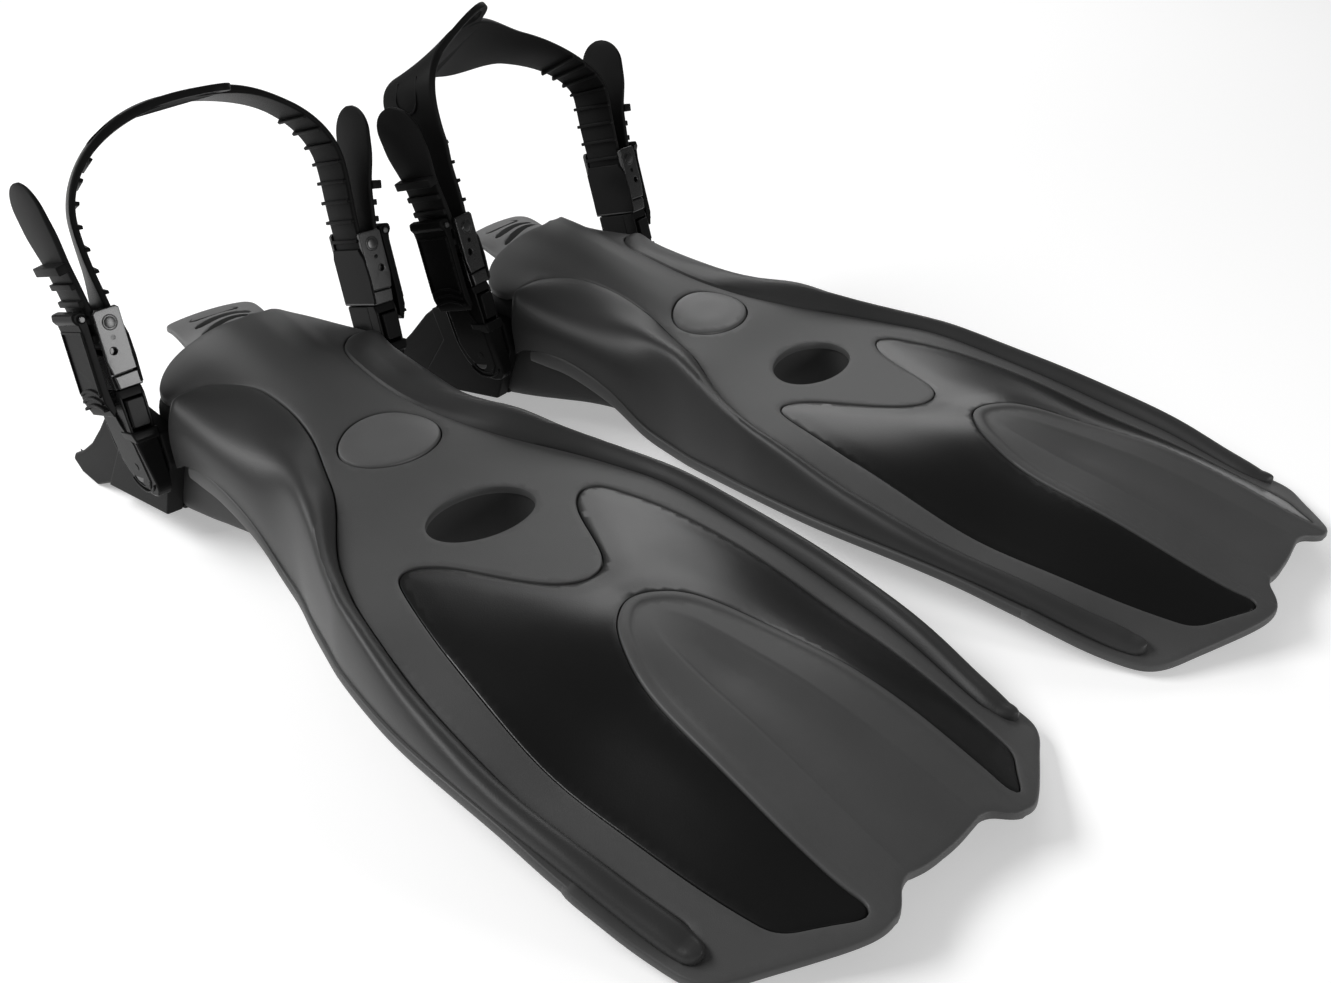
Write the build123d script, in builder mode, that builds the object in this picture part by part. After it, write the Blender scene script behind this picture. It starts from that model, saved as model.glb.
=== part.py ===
"""A pair of open-heel swim fins with swivelling quick-release buckles and ratchet straps.

One fin is modelled in its own frame: the heel is at the origin, the blade runs along -Y, the
wearer's left is +X and +Z is up. "Reach" is the distance from the heel towards the tail, so a
point at reach r has y = -r. The finished pieces are then set down side by side for both feet.
"""
from build123d import *
import math
import os

# Placing of the pair: tails splay apart and the left fin stands a little further forward.
SPLAY = 5.0                 # degrees each side of straight ahead
HEEL_SPACING = 94.0         # half the distance between the two heels
HEEL_STAGGER = 10.0         # each heel's distance ahead of or behind the middle
HEEL_TO_CENTRE = 281.81     # from the mean heel line to the middle of the pair's length

# Blade: (reach, half width, height of the crown, height of the edge), upper surface.
BLADE_STATIONS = [
    (248, 64, 62, 34),
    (300, 93, 57, 29),
    (350, 108, 55, 26),
    (405, 117, 51, 23),
    (465, 116, 43, 16),
    (520, 111, 31, 7),
    (566, 104, 21, 5),
]
BLADE_THICKNESS = 5.0
PANEL_THICKNESS = 2.6
TAIL_REACH = 562.0
NOTCH_REACH = 553.0
NOTCH_HALF = 22.0
HOLE_REACH, HOLE_LONG, HOLE_WIDE = 287.0, 17.0, 29.0

# Foot pocket: (reach, half width, top of the vault, top of the straight side, underside).
POCKET_STATIONS = [
    (88, 53, 104, 76, 12),
    (125, 53, 101, 72, 15),
    (165, 53, 89, 62, 18),
    (205, 52, 76, 52, 21),
    (240, 50, 65, 45, 25),
    (266, 48, 57, 40, 29),
]
POCKET_WALL = 4.5
POCKET_FLOOR = 7.0
TOE_WALL = 8.0

# Side rails: (reach, inner side, outer side, underside, top).
RAIL_STATIONS = [
    (118, 53, 66, 50, 88),
    (160, 53, 67, 42, 84),
    (200, 53, 68, 31, 75),
    (240, 56, 75, 28, 66),
    (280, 70, 88, 27, 60),
    (320, 84, 102, 26, 55),
    (360, 93, 111, 25, 49),
    (405, 99, 116, 23, 44),
    (460, 98, 115, 17, 31),
    (505, 93, 109, 8, 18),
    (522, 94, 105, 7, 12),
]

# Instep tongue and badge
TONGUE_HALF, TONGUE_REAR, TONGUE_THICKNESS = 26.0, 57.0, 3.0
SLOT_LONG, SLOT_WIDE, SLOT_PITCH = 30.0, 2.0, 9.0
BADGE_REACH, BADGE_LONG, BADGE_WIDE, BADGE_THICKNESS = 219.0, 18.0, 28.0, 3.0
BADGE_HEIGHT, BADGE_TILT = 72.5, 15.5

# Heel: floor and side walls, and the block each buckle is mounted on
HEEL_HALF = 60.0
WALL_THICKNESS = 6.0
BLOCK_OUTER = 69.5
PIVOT_REACH, PIVOT_HEIGHT = 113.0, 43.5
STUD_RADIUS, STUD_END = 5.0, 79.7

# Buckle, in the swing plane: x sideways, y up along the arm from the pivot, z towards the toe
LEAN = 16.0                 # rest angle of the arms behind the vertical
RUNNING = 0.05              # radial clearance of pins and journals
GAP = 0.3                   # clearance between pieces that move past each other
ARM_INNER, ARM_OUTER, ARM_HALF = 70.3, 84.0, 14.0
ARM_TOP = 45.0
PLUG_TOP, PLUG_HALF, PLUG_INNER, PLUG_OUTER = 59.0, 10.0, 74.0, 80.0
BUTTON_BOTTOM, BUTTON_TOP, BUTTON_DEPTH, BUTTON_TRAVEL = 25.0, 40.0, 5.0, 2.0
FRAME_INNER, FRAME_OUTER, FRAME_HALF, FRAME_TOP = 69.8, 84.5, 15.4, 89.0
ANKLE_WALL = 1.5             # wall of the receiver next to the ankle
PLATE = 2.5
ROLLER_X, ROLLER_Y, ROLLER_RADIUS, JOURNAL_RADIUS = 78.2, 71.0, 3.0, 1.6
PIN_X, PIN_Y, PIN_RADIUS, HUB_RADIUS = 89.6, 83.0, 1.5, 2.8
LEVER_BOTTOM, LEVER_INNER, LEVER_OUTER = 33.0, 87.0, 91.0

# Strap: band round the heel, folded over the rollers, with a free tail outside each buckle
STRAP_THICKNESS, STRAP_HALF = 3.2, 12.4
LOOP_HALF, LOOP_SPRING, LOOP_RISE = 74.5, 123.0, 57.0
TAIL_TIP_X, TAIL_TIP_Y = 94.5, 150.0
STOP_RIB_Y, STOP_RIB_HEIGHT = 108.0, 5.0
PAD_HALF_WIDTH, PAD_RAISE = 21.0, 1.5
TAB_LENGTH = 12.0

SIDES = {"right": -1, "left": 1}


def section_at(reach):
    """Plane across the fin, with its normal towards the tail."""
    return Plane(origin=(0, -reach, 0), x_dir=(1, 0, 0), z_dir=(0, -1, 0))


def side_view(offset=0.0):
    """Plane seen from the wearer's left: local x is reach, local y is height, normal to -X."""
    return Plane(origin=(offset, 0, 0), x_dir=(0, -1, 0), z_dir=(-1, 0, 0))


def swing_plane(along=0.0):
    """Plane of the strap loop through the pivot axis: x sideways, y up the arm, z to the toe."""
    lean = math.radians(LEAN)
    toe = Vector(0, -math.cos(lean), math.sin(lean))
    return Plane(origin=Vector(0, -PIVOT_REACH, PIVOT_HEIGHT) + toe * along,
                 x_dir=(1, 0, 0), z_dir=toe)


def swing_top(height):
    """Plane across the swing plane at a height up the arm: x sideways, y to the heel."""
    lean = math.radians(LEAN)
    up = Vector(0, math.sin(lean), math.cos(lean))
    return Plane(origin=swing_plane().origin + up * height, x_dir=(1, 0, 0), z_dir=up)


def arm_side_view(offset):
    """Plane beside an arm: local x points to the toe, local y up the arm, normal to -X."""
    plane = swing_plane()
    return Plane(origin=plane.origin + Vector(offset, 0, 0), x_dir=plane.z_dir, z_dir=(-1, 0, 0))


def arched_band(stations, thickness):
    """Loft of arched strips. A station is (reach, half width, height of the crown, of the edge)."""
    with BuildPart() as band:
        for reach, half, crown, edge in stations:
            under = edge - thickness
            with BuildSketch(section_at(reach)):
                with BuildLine():
                    ThreePointArc((-half, edge), (0, crown), (half, edge))
                    Line((half, edge), (half, under))
                    ThreePointArc((half, under), (0, crown - thickness), (-half, under))
                    Line((-half, under), (-half, edge))
                make_face()
        loft()
    return band.part


def vault(stations, wall, floor):
    """Loft of a foot-shaped tunnel, made smaller by wall at the sides and top and floor below."""
    with BuildPart() as tunnel:
        for reach, half, top, shoulder, base in stations:
            side, low = half - wall, base + floor
            with BuildSketch(section_at(reach)):
                with BuildLine():
                    Line((-side, low), (side, low))
                    Line((side, low), (side, shoulder))
                    ThreePointArc((side, shoulder), (0, top - wall), (-side, shoulder))
                    Line((-side, shoulder), (-side, low))
                make_face()
        loft()
    return tunnel.part


def planform(outline):
    """Tall prism over a plan outline given as a function that draws one half of it."""
    with BuildPart() as prism:
        with BuildSketch():
            with BuildLine():
                outline()
                mirror(about=Plane.YZ)
            make_face()
        extrude(amount=150)
    return prism.part


def blade_outline():
    side = Spline((0, -240), (60, -246), (93, -300), (109, -350), (116.5, -405), (115.5, -465),
                  (109, -520))
    corner = Spline(side @ 1, (102, -534), (88, -542), tangents=[side % 1, Vector(-1, -0.45, 0)])
    tail = Line(corner @ 1, (52, -TAIL_REACH))
    point = Line(tail @ 1, (36, -TAIL_REACH))
    cheek = Line(point @ 1, (NOTCH_HALF, -NOTCH_REACH))
    Line(cheek @ 1, (0, -NOTCH_REACH))


def panel_outline():
    lobes = Spline((0, -361), (14, -354), (28, -330), (42, -305), (54, -298), (62, -306))
    side = Spline(lobes @ 1, (75, -350), (83, -405), (82, -470), (73, -535),
                  tangents=[lobes % 1, Vector(-0.18, -1, 0)])
    tail = Line(side @ 1, (46, -555))
    Spline(tail @ 1, (46, -505), (34, -429), (12, -391), (0, -385))


def channel_outline():
    side = Spline((0, -385), (12, -391), (34, -429), (46, -505), (46, -555))
    cheek = Line(side @ 1, (46, -600))
    Line(cheek @ 1, (0, -600))


# --- Blade frame, insert panel and centre channel ---------------------------------------------
pocket_outer = vault(POCKET_STATIONS, 0.0, 0.0)
blade_skin = arched_band(BLADE_STATIONS, PANEL_THICKNESS)
panel_prism = planform(panel_outline)
channel_prism = planform(channel_outline)

with BuildPart() as blade:
    add(arched_band(BLADE_STATIONS, BLADE_THICKNESS))
    add(planform(blade_outline), mode=Mode.INTERSECT)
    add(pocket_outer, mode=Mode.SUBTRACT)
    with BuildSketch():
        with Locations((0, -HOLE_REACH)):
            Ellipse(HOLE_WIDE, HOLE_LONG)
    extrude(amount=150, mode=Mode.SUBTRACT)

with BuildPart() as centre_channel:
    add(blade.part)
    add(channel_prism, mode=Mode.INTERSECT)
    with BuildSketch(section_at(400)) as start:
        with Locations((0, 56)):
            Ellipse(8, 3)
    with BuildSketch(section_at(580)) as finish:
        with Locations((0, 26)):
            Ellipse(26, 7)
    loft(sections=[start.sketch, finish.sketch], mode=Mode.SUBTRACT)

with BuildPart() as panel_insert:
    add(blade.part)
    add(blade_skin, mode=Mode.INTERSECT)
    add(panel_prism, mode=Mode.INTERSECT)
    add(channel_prism, mode=Mode.SUBTRACT)

with BuildPart() as blade_frame:
    add(blade.part)
    add(channel_prism, mode=Mode.SUBTRACT)
    add(panel_insert.part, mode=Mode.SUBTRACT)

# --- Foot pocket with its instep tongue and badge ---------------------------------------------
with BuildPart() as badge:
    badge_plane = Plane(origin=(0, -BADGE_REACH, BADGE_HEIGHT)).rotated((BADGE_TILT, 0, 0))
    with BuildSketch(badge_plane):
        Ellipse(BADGE_WIDE, BADGE_LONG)
    extrude(amount=-BADGE_THICKNESS)
    fillet(badge.faces().sort_by(Axis.Z)[-1].edges(), 0.8)

inner_stations = POCKET_STATIONS[:-1] + [
    (POCKET_STATIONS[-1][0] - TOE_WALL, *(POCKET_STATIONS[-1][1:]))]
with BuildPart() as foot_pocket:
    add(pocket_outer)
    add(vault(inner_stations, POCKET_WALL, POCKET_FLOOR), mode=Mode.SUBTRACT)
    with BuildSketch(side_view()):
        Polygon((60, 130), (100, 130), (100, 82), (125, 50), (116, 8), (60, 0), align=None)
    extrude(amount=80, both=True, mode=Mode.SUBTRACT)
    add(badge.part, mode=Mode.SUBTRACT)

with BuildPart() as instep_tongue:
    add(arched_band([(TONGUE_REAR, TONGUE_HALF, 93, 87), (100, TONGUE_HALF, 103, 95)],
                    TONGUE_THICKNESS))
    with BuildSketch():
        with Locations((0, -TONGUE_REAR)):
            RectangleRounded(2 * TONGUE_HALF, 80, 14, align=(Align.CENTER, Align.MAX))
        for row in range(3):
            with Locations((0, -TONGUE_REAR - SLOT_PITCH * (row + 1))):
                SlotOverall(SLOT_LONG + 4 * row, SLOT_WIDE, mode=Mode.SUBTRACT)
    extrude(amount=150, mode=Mode.INTERSECT)


# --- Heel floor and walls, mounting blocks and studs ------------------------------------------
with BuildPart() as heel_plate:
    with BuildSketch(side_view()):
        Polygon((9, 0), (30, 0), (60, 4), (100, 12.5), (116, 16), (118, 19), (116, 22), (30, 7),
                (6, 8), align=None)
    extrude(amount=HEEL_HALF, both=True)
    for side in SIDES.values():
        with BuildSketch(side_view(side * (HEEL_HALF + WALL_THICKNESS / 2))):
            Polygon((5, 8), (14, 2), (30, 0), (52.4, 10), (74.4, 44), (66.5, 62), (58, 55), (45, 40),
                    (32, 27), (18, 17), (8, 12), align=None)
        extrude(amount=WALL_THICKNESS / 2, both=True)
    with BuildSketch():
        with BuildLine():
            rear = ThreePointArc((-66, -5), (0, -7), (66, -5))
            Polyline(rear @ 1, (66, -130), (-66, -130), rear @ 0)
        make_face()
    extrude(amount=90, mode=Mode.INTERSECT)
    add(foot_pocket.part, mode=Mode.SUBTRACT)


def mount_block(side):
    """Hard block in the heel's side wall, with the stud that carries the buckle arm beside it."""
    with BuildPart() as block:
        with BuildSketch(side_view(side * HEEL_HALF)):
            Polygon((52.4, 10), (115, 16), (127, 50), (122, 66), (90, 70), (66.5, 62), (74.4, 44),
                    align=None)
        extrude(amount=-side * (BLOCK_OUTER - HEEL_HALF))
        add(pocket_outer, mode=Mode.SUBTRACT)
    return block.part


def pivot_stud(side):
    """Snap-in stud on the block: the buckle arm swivels on it."""
    with BuildPart() as stud:
        with BuildSketch(side_view(side * BLOCK_OUTER)):
            with Locations((PIVOT_REACH, PIVOT_HEIGHT)):
                Circle(STUD_RADIUS)
        extrude(amount=-side * (STUD_END - BLOCK_OUTER))
        chamfer(stud.faces().sort_by(Axis.X)[-1 if side > 0 else 0].edges(), 0.6)
    return stud.part


def side_rail(side):
    """Bar that stiffens one edge of the blade, from the mouth of the pocket to the tail."""
    with BuildPart() as rail:
        for reach, inner, outer, low, top in RAIL_STATIONS:
            width, height = outer - inner, top - low
            with BuildSketch(section_at(reach)):
                with Locations((side * (inner + outer) / 2, (low + top) / 2)):
                    RectangleRounded(width, height, 0.45 * min(width, height))
        loft()
        add(blade.part, mode=Mode.SUBTRACT)
        add(pocket_outer, mode=Mode.SUBTRACT)
        add(mount_block(side), mode=Mode.SUBTRACT)
    return rail.part.solids().sort_by(SortBy.VOLUME)[-1]


# --- Buckles -----------------------------------------------------------------------------------
def buckle_arm(side):
    """Swivel arm: round foot on the stud, button recess in its front, plug for the receiver."""
    middle = side * (ARM_INNER + ARM_OUTER) / 2
    thickness = ARM_OUTER - ARM_INNER
    with BuildPart() as arm:
        with BuildSketch(arm_side_view(middle)):
            Circle(ARM_HALF)
            with Locations((0, ARM_TOP / 2)):
                Rectangle(2 * ARM_HALF, ARM_TOP)
        extrude(amount=thickness / 2, both=True)
        with BuildSketch(swing_plane()):
            with Locations((side * (PLUG_INNER + PLUG_OUTER) / 2, (ARM_TOP + PLUG_TOP) / 2)):
                Rectangle(PLUG_OUTER - PLUG_INNER, PLUG_TOP - ARM_TOP)
        extrude(amount=PLUG_HALF, both=True)
        with BuildSketch(swing_plane(ARM_HALF)):
            with Locations((middle, (BUTTON_BOTTOM + BUTTON_TOP) / 2)):
                Rectangle(thickness - 4, BUTTON_TOP - BUTTON_BOTTOM)
        extrude(amount=-BUTTON_DEPTH - BUTTON_TRAVEL - GAP, mode=Mode.SUBTRACT)
        with BuildSketch(arm_side_view(side * ARM_INNER)):
            Circle(STUD_RADIUS + RUNNING)
        extrude(amount=-side * (STUD_END - ARM_INNER + GAP), mode=Mode.SUBTRACT)
    return arm.part


def release_button(side):
    """Push button in the front of the arm."""
    middle = side * (ARM_INNER + ARM_OUTER) / 2
    width = ARM_OUTER - ARM_INNER - 4 - 2 * GAP
    height = BUTTON_TOP - BUTTON_BOTTOM - 2 * GAP
    with BuildPart() as button:
        with BuildSketch(swing_plane(ARM_HALF - BUTTON_DEPTH)):
            with Locations((middle, (BUTTON_BOTTOM + BUTTON_TOP) / 2)):
                RectangleRounded(width, height, 1.2)
        extrude(amount=BUTTON_DEPTH + BUTTON_TRAVEL)
    return button.part


def receiver(side):
    """Buckle frame: socket for the plug below, two side plates above for roller and lever pin."""
    with BuildPart() as frame:
        with BuildSketch(swing_plane()):
            with BuildLine():
                Polyline((side * FRAME_INNER, ARM_TOP + GAP), (side * FRAME_OUTER, ARM_TOP + GAP),
                         (side * FRAME_OUTER, 75), (side * 93, 79), (side * 93, FRAME_TOP - 2),
                         (side * 88, FRAME_TOP), (side * FRAME_INNER, FRAME_TOP - 4), close=True)
            make_face()
        extrude(amount=FRAME_HALF, both=True)
        with BuildSketch(swing_plane()):
            with BuildLine():
                Polyline((side * (FRAME_INNER + ANKLE_WALL), 63.6), (side * 95, 63.6),
                         (side * 95, 95), (side * (FRAME_INNER - 5), 95),
                         (side * (FRAME_INNER - 5), 77),
                         (side * (FRAME_INNER + ANKLE_WALL), 77), close=True)
            make_face()
        extrude(amount=FRAME_HALF - PLATE, both=True, mode=Mode.SUBTRACT)
        with BuildSketch(swing_plane()):
            with Locations((side * (PLUG_INNER + PLUG_OUTER) / 2, (ARM_TOP + PLUG_TOP) / 2)):
                Rectangle(PLUG_OUTER - PLUG_INNER + 2 * GAP, PLUG_TOP - ARM_TOP + 2 * GAP)
        extrude(amount=PLUG_HALF + GAP, both=True, mode=Mode.SUBTRACT)
        with BuildSketch(swing_plane()):
            with Locations((side * ROLLER_X, ROLLER_Y)):
                Circle(JOURNAL_RADIUS + RUNNING)
            with Locations((side * PIN_X, PIN_Y)):
                Circle(PIN_RADIUS)
        extrude(amount=2 * FRAME_HALF, both=True, mode=Mode.SUBTRACT)
    return frame.part


def strap_roller(side):
    """Roller that the strap is folded round, on two journals in the side plates."""
    with BuildPart() as roller:
        with BuildSketch(swing_plane()):
            with Locations((side * ROLLER_X, ROLLER_Y)):
                Circle(ROLLER_RADIUS)
        extrude(amount=FRAME_HALF - PLATE - GAP, both=True)
        with BuildSketch(swing_plane()):
            with Locations((side * ROLLER_X, ROLLER_Y)):
                Circle(JOURNAL_RADIUS)
        extrude(amount=FRAME_HALF, both=True)
    return roller.part


def lever_pin(side):
    """Pin through both side plates, on which the ratchet lever turns."""
    with BuildPart() as pin:
        with BuildSketch(swing_plane()):
            with Locations((side * PIN_X, PIN_Y)):
                Circle(PIN_RADIUS)
        extrude(amount=FRAME_HALF + 0.4, both=True)
    return pin.part


def ratchet_lever(side):
    """Lever over the front of the buckle, with a curved finger grip at its free end."""
    with BuildPart() as lever:
        with BuildSketch(swing_plane()):
            with BuildLine():
                Polyline((side * LEVER_INNER, PIN_Y), (side * LEVER_INNER, 47),
                         (side * 86, LEVER_BOTTOM + 3), (side * 88, LEVER_BOTTOM),
                         (side * LEVER_OUTER, LEVER_BOTTOM + 8), (side * LEVER_OUTER, 75),
                         (side * (PIN_X + HUB_RADIUS - 0.2), PIN_Y), close=True)
            make_face()
            with Locations((side * PIN_X, PIN_Y)):
                Circle(HUB_RADIUS)
            with Locations((side * PIN_X, PIN_Y)):
                Circle(PIN_RADIUS + RUNNING, mode=Mode.SUBTRACT)
        extrude(amount=FRAME_HALF - PLATE - GAP, both=True)
    return lever.part


# --- Strap -------------------------------------------------------------------------------------
fold = ROLLER_RADIUS + GAP
half = STRAP_THICKNESS / 2
inner_run = ROLLER_X - fold - half      # middle of the strap where it goes down, foot side
spring = (0, LOOP_SPRING)
with BuildPart() as heel_strap:
    with BuildSketch(swing_plane()):
        with BuildLine():
            outside = EllipticalCenterArc(spring, LOOP_HALF + half, LOOP_RISE + half, arc_size=180)
            inside = EllipticalCenterArc(spring, LOOP_HALF - half, LOOP_RISE - half, arc_size=180)
            for end, side in ((0, 1), (1, -1)):
                Polyline(outside @ end, (side * (inner_run + half), ROLLER_Y + 14),
                         (side * (inner_run + half), ROLLER_Y), (side * (inner_run - half), ROLLER_Y),
                         (side * (inner_run - half), ROLLER_Y + 14), inside @ end)
        make_face()
        for side in SIDES.values():
            with Locations((side * ROLLER_X, ROLLER_Y)):
                Circle(fold + STRAP_THICKNESS)
            with Locations((side * ROLLER_X, ROLLER_Y)):
                Circle(fold, mode=Mode.SUBTRACT)
            with Locations((side * ROLLER_X, ROLLER_Y)):
                Rectangle(2 * fold, 20, align=(Align.CENTER, Align.MIN), mode=Mode.SUBTRACT)
            with BuildLine():
                Polyline((side * (ROLLER_X + fold), ROLLER_Y - 0.5),
                         (side * (ROLLER_X + fold + STRAP_THICKNESS), ROLLER_Y - 0.5),
                         (side * (TAIL_TIP_X + half), TAIL_TIP_Y),
                         (side * (TAIL_TIP_X - half), TAIL_TIP_Y),
                         (side * (ROLLER_X + fold + 0.1), ROLLER_Y + 6), close=True)
            make_face()
    extrude(amount=STRAP_HALF, both=True)
    with BuildSketch(swing_plane()):
        with BuildLine():
            crest = LOOP_RISE + half
            top = EllipticalCenterArc(spring, LOOP_HALF + half, crest + PAD_RAISE, 58, arc_size=64)
            bottom = EllipticalCenterArc(spring, LOOP_HALF - half, LOOP_RISE - half, 58,
                                         arc_size=64)
            Line(top @ 0, bottom @ 0)
            Line(top @ 1, bottom @ 1)
        make_face()
    extrude(amount=PAD_HALF_WIDTH, both=True)
    with BuildSketch(swing_plane()):
        with BuildLine():
            top = EllipticalCenterArc(spring, LOOP_HALF + half, LOOP_RISE + half, 74, arc_size=32)
            bottom = EllipticalCenterArc(spring, LOOP_HALF - half, LOOP_RISE - half, 74,
                                         arc_size=32)
            Line(top @ 0, bottom @ 0)
            Line(top @ 1, bottom @ 1)
        make_face()
    extrude(amount=PAD_HALF_WIDTH + TAB_LENGTH)
    with BuildSketch(swing_top(LOOP_SPRING + LOOP_RISE)):
        with Locations((0, -PAD_HALF_WIDTH - TAB_LENGTH / 2)):
            RectangleRounded(20, 5, 2)
    extrude(amount=12, both=True, mode=Mode.SUBTRACT)
    for side in SIDES.values():
        share = (STOP_RIB_Y - ROLLER_Y) / (TAIL_TIP_Y - ROLLER_Y)
        rib_x = ROLLER_X + fold + share * (TAIL_TIP_X - ROLLER_X - fold) + STRAP_THICKNESS
        with BuildSketch(swing_plane()):
            with Locations((side * rib_x, STOP_RIB_Y)):
                Rectangle(STOP_RIB_HEIGHT, 4)
        extrude(amount=STRAP_HALF, both=True)

# --- Both fins ---------------------------------------------------------------------------------
pieces = {
    "blade_frame": blade_frame.part,
    "panel_insert": panel_insert.part,
    "centre_channel": centre_channel.part,
    "foot_pocket": foot_pocket.part,
    "instep_tongue": instep_tongue.part,
    "badge": badge.part,
    "heel_plate": heel_plate.part,
    "heel_strap": heel_strap.part,
}
for side_name, side in SIDES.items():
    pieces[f"side_rail_{side_name}"] = side_rail(side)
    pieces[f"mount_block_{side_name}"] = mount_block(side)
    pieces[f"pivot_stud_{side_name}"] = pivot_stud(side)
    pieces[f"buckle_arm_{side_name}"] = buckle_arm(side)
    pieces[f"release_button_{side_name}"] = release_button(side)
    pieces[f"receiver_{side_name}"] = receiver(side)
    pieces[f"strap_roller_{side_name}"] = strap_roller(side)
    pieces[f"lever_pin_{side_name}"] = lever_pin(side)
    pieces[f"ratchet_lever_{side_name}"] = ratchet_lever(side)

os.makedirs("parts", exist_ok=True)
for fin_name, side in SIDES.items():
    heel = (side * HEEL_SPACING, HEEL_TO_CENTRE - side * HEEL_STAGGER, 0)
    place = Location(heel, (0, 0, side * SPLAY))
    for piece_name, solid in pieces.items():
        node = solid.moved(place)
        node.label = f"{fin_name}_fin_{piece_name}"
        export_step(node, f"parts/{node.label}.step")
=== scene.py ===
"""Looks of a pair of open-heel swim fins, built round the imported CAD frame.

Shapes are worked out in one fin's own frame in millimetres: the heel is the origin, +X is the
wearer's left, the tail is towards -Y and +Z is up. "Reach" is the distance from the heel towards
the tail, so a point at reach r has y = -r. Buckles and strap use the swing frame: x sideways,
a up the arm from the pivot, t towards the toe.
"""
import math

import bmesh
import bpy
import numpy as np
from mathutils import Matrix, Vector
from mathutils.geometry import delaunay_2d_cdt


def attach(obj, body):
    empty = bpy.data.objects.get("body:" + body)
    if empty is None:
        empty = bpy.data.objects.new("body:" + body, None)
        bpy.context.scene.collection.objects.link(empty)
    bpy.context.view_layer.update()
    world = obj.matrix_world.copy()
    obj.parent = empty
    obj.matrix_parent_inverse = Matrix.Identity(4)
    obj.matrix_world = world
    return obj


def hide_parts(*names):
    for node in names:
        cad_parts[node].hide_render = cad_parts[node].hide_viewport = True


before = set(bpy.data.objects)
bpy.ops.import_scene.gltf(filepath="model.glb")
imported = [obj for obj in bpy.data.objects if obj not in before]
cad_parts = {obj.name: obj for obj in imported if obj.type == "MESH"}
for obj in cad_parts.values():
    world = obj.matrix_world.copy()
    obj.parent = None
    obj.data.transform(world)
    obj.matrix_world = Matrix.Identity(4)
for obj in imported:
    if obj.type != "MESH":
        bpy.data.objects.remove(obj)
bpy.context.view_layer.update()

MM = 0.001
FINS = {"right": -1, "left": 1}
SIDES = {"right": -1, "left": 1}

# Placing of the pair, as in the CAD
SPLAY, HEEL_SPACING, HEEL_STAGGER, HEEL_TO_CENTRE = 5.0, 94.0, 10.0, 281.81

# Buckle and strap sizes shared with the CAD, in the swing frame
LEAN, PIVOT_REACH, PIVOT_HEIGHT = 16.0, 113.0, 43.5
ARM_INNER, ARM_OUTER = 70.3, 84.0
ARM_TOP, PLUG_TOP, BUTTON_TOP = 45.0, 59.0, 40.0
FRAME_INNER, FRAME_HALF, PLATE = 69.8, 15.4, 2.5
ROLLER_X, ROLLER_Y, ROLLER_RADIUS = 78.2, 71.0, 3.0
PIN_X, PIN_Y, LEVER_OUTER = 89.6, 83.0, 91.0
STRAP_THICKNESS, STRAP_HALF = 3.2, 12.4
LOOP_HALF, LOOP_SPRING = 74.5, 123.0
TAIL_TIP_X, TAIL_TIP_Y = 94.5, 150.0
PAD_HALF_WIDTH, TAIL_HALF_WIDTH = 21.0, 15.6

SHARP_ANGLE = 38            # edges sharper than this, in degrees, are shaded as edges
FLAT_ANGLE = 55             # faces turned by less than this share their shading

# Upper surface of instep and blade: heights at these distances from the axis, for each reach
HEIGHT_AT = (0, 15, 30, 45, 60, 75, 90, 105, 120)
HEIGHTS = {
    86: (106, 103, 94, 86, 77, 66, 55, 44, 33),
    105: (104, 101, 92, 85.5, 79, 68, 56, 44, 33),
    124: (101, 97.5, 89, 85, 81, 72, 60, 48, 36),
    143: (95.5, 92.5, 85, 81.5, 78, 70, 60, 50, 40),
    162: (90, 87.5, 81.5, 78, 75, 68, 60, 52, 44),
    181: (84, 82.5, 77.8, 74.5, 71, 66, 60, 53, 46),
    200: (78, 77.2, 74.3, 71.5, 68, 64, 59, 53, 46),
    219: (72, 71.8, 70.5, 68.5, 66, 63, 58, 52, 45),
    239: (67, 66.9, 66.5, 66, 64.5, 62, 57, 51, 44),
    258: (62, 62, 61.9, 61.7, 61.3, 60, 56, 50, 43),
    277: (58.5, 58.5, 58.4, 58.2, 57.9, 57.3, 55, 49, 42),
    296: (56.5, 56.5, 56.4, 56.2, 56, 55.2, 53.5, 48, 41),
    315: (55.3, 55.3, 55.2, 55, 54.5, 53.8, 52.4, 48, 40),
    353: (55, 55, 54.7, 53.6, 51.8, 49.2, 46, 42, 36),
    391: (56, 56, 54.5, 51.5, 47.5, 42.7, 38.7, 35, 31),
    429: (53.5, 52.5, 49, 45, 39.5, 33.5, 30, 27.5, 24),
    467: (48, 47.3, 45, 41.5, 35, 28.2, 23.5, 20.5, 18),
    505: (39, 38.4, 36.6, 33.8, 27.5, 20.6, 14.5, 9.5, 7),
    543: (27.5, 27, 25.8, 22.8, 17.5, 12.5, 8.5, 6, 5),
    572: (19, 18.8, 18, 16, 12, 9, 6.5, 5, 4.5),
}
SHEET = 4.0                 # thickness of the frame sheet
PANEL_RECESS = 0.7
HOLE_REACH, HOLE_LONG, HOLE_WIDE = 287.0, 17.5, 29.5
BADGE_REACH, BADGE_LONG, BADGE_WIDE = 219.0, 18.0, 28.0
SEAM = 0.35                 # half the width of the gap at a seam

# Channel: (reach, half width of its floor), its stepped band and its depth
FLOOR_EDGE = ((398, 0), (404, 5), (420, 11), (445, 15), (480, 18.5), (520, 21), (560, 22.5))
BAND, STEP, STEP_WIDTH, FLANK_DROP, FLOOR_DROP = 4.5, 1.0, 2.2, 2.2, 4.6


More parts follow.
